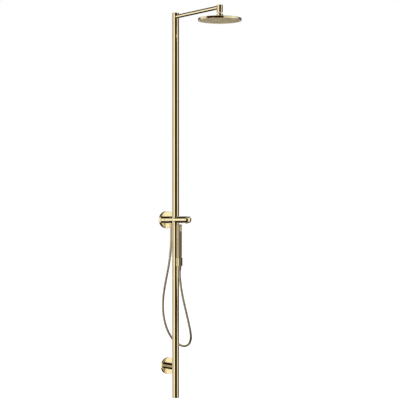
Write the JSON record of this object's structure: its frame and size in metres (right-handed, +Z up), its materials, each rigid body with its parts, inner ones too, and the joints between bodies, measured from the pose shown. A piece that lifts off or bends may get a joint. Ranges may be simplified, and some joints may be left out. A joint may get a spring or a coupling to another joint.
{
  "type": "rainfall shower column",
  "caption": "Wall-mounted shower column with a thermostatic cross barrel, swivelling arm, tilting round rain head and a baton hand shower on a flexible hose.",
  "frame": {"origin": "centre of the upper wall plate's back face, on the wall and on the barrel's axis", "axes": "+Y into the wall, -Y to the front along the barrel and the arm, +X to the right of someone facing the column, +Z up along the column"},
  "size_m": [0.24, 0.669, 2.2],
  "materials": {
    "polished_gold": "polished gold coating on brass",
    "hose_gold": "gold metallised spiral hose, satin",
    "raw_brass": "machined brass",
    "stainless_steel": "machined stainless steel",
    "black_rubber": "matt seal rubber",
    "tan_silicone": "soft tan silicone",
    "white_plastic": "moulded",
    "dark_plastic": "moulded"
  },
  "bodies": {
    "root": {"upper_wall_plate": "raw_brass", "upper_wall_gasket": "black_rubber", "upper_rosette": "polished_gold", "hot_inlet_union": "raw_brass", "cold_inlet_union": "raw_brass", "lower_wall_plate": "raw_brass", "lower_rosette": "polished_gold", "lower_rosette_seal": "black_rubber", "lower_stem": "polished_gold", "column_bolt": "stainless_steel", "column_anchor_nut": "stainless_steel", "stem_grub_screw": "stainless_steel", "valve_body": "polished_gold", "diverter_cartridge": "white_plastic", "thermostat_cartridge": "raw_brass", "cartridge_o_ring_front": "black_rubber", "cartridge_o_ring_rear": "black_rubber", "cartridge_retaining_nut": "raw_brass", "upper_column_tube": "polished_gold", "lower_column_tube": "polished_gold", "column_bottom_cap": "polished_gold", "riser_pipe": "white_plastic", "swivel_spigot": "raw_brass", "swivel_o_ring_upper": "black_rubber", "swivel_o_ring_lower": "black_rubber", "handset_holder": "polished_gold", "holder_screw": "stainless_steel", "holder_liner": "dark_plastic", "hose_outlet_nipple": "raw_brass", "hose_outlet_nut": "polished_gold", "hose": "hose_gold"},
    "arm": {"column_head": "polished_gold", "column_top_cap": "polished_gold", "shower_arm": "polished_gold", "arm_connector": "polished_gold", "union_nut": "polished_gold", "union_seal": "black_rubber", "ball_stud": "polished_gold"},
    "ball_seat": {"ball_seat": "dark_plastic"},
    "shower_head": {"collar_nut": "polished_gold", "ball_seal": "black_rubber", "head_top_shell": "polished_gold", "spray_plate": "polished_gold", "spray_plate_screw_1": "stainless_steel", "spray_plate_screw_2": "stainless_steel", "spray_plate_screw_3": "stainless_steel", "nozzle_mat": "tan_silicone", "distributor_disc": "white_plastic"},
    "temperature_handle": {"temperature_handle": "polished_gold", "temperature_nut": "dark_plastic", "safety_button_spring": "stainless_steel"},
    "safety_button": {"safety_stop_button": "polished_gold"},
    "diverter": {"diverter_knob": "polished_gold", "diverter_spindle": "stainless_steel"},
    "hose_end": {"hose_cone": "polished_gold"},
    "handset": {"handset_shell": "polished_gold", "handset_spray_insert": "tan_silicone", "handset_foot": "polished_gold", "handset_inner_pipe": "white_plastic"}
  },
  "joints": [
    {"name": "arm_swivel", "type": "hinge", "parent": "root", "child": "arm", "pos_m": [0, -0.103, 1.1595], "axis": [0, 0, 1], "range_deg": [-45, 45]},
    {"name": "head_tilt_forward", "type": "hinge", "parent": "arm", "child": "ball_seat", "pos_m": [0, -0.549, 1.117], "axis": [1, 0, 0], "range_deg": [-15, 15]},
    {"name": "head_tilt_side", "type": "hinge", "parent": "ball_seat", "child": "shower_head", "pos_m": [0, -0.549, 1.117], "axis": [0, 1, 0], "range_deg": [-15, 15]},
    {"name": "temperature_turn", "type": "hinge", "parent": "root", "child": "temperature_handle", "pos_m": [0, -0.17, 0], "axis": [0, -1, 0], "range_deg": [-160, 70]},
    {"name": "safety_button_press", "type": "slide", "parent": "temperature_handle", "child": "safety_button", "axis": [0, 0, 1], "range_m": [0, 0.002], "stiffness_N_per_m": 500, "springref_m": -0.001, "deforming": ["safety_button_spring"]},
    {"name": "diverter_turn", "type": "hinge", "parent": "root", "child": "diverter", "pos_m": [0, -0.234, 0], "axis": [0, -1, 0], "range_deg": [-90, 90]},
    {"name": "handset_pull", "type": "slide", "parent": "root", "child": "hose_end", "axis": [0, -1, 0], "range_m": [0, 0.08]},
    {"name": "handset_spin", "type": "hinge", "parent": "hose_end", "child": "handset", "pos_m": [0, -0.147, -0.25], "axis": [0, 0, 1], "range_deg": [-90, 90]}
  ]
}
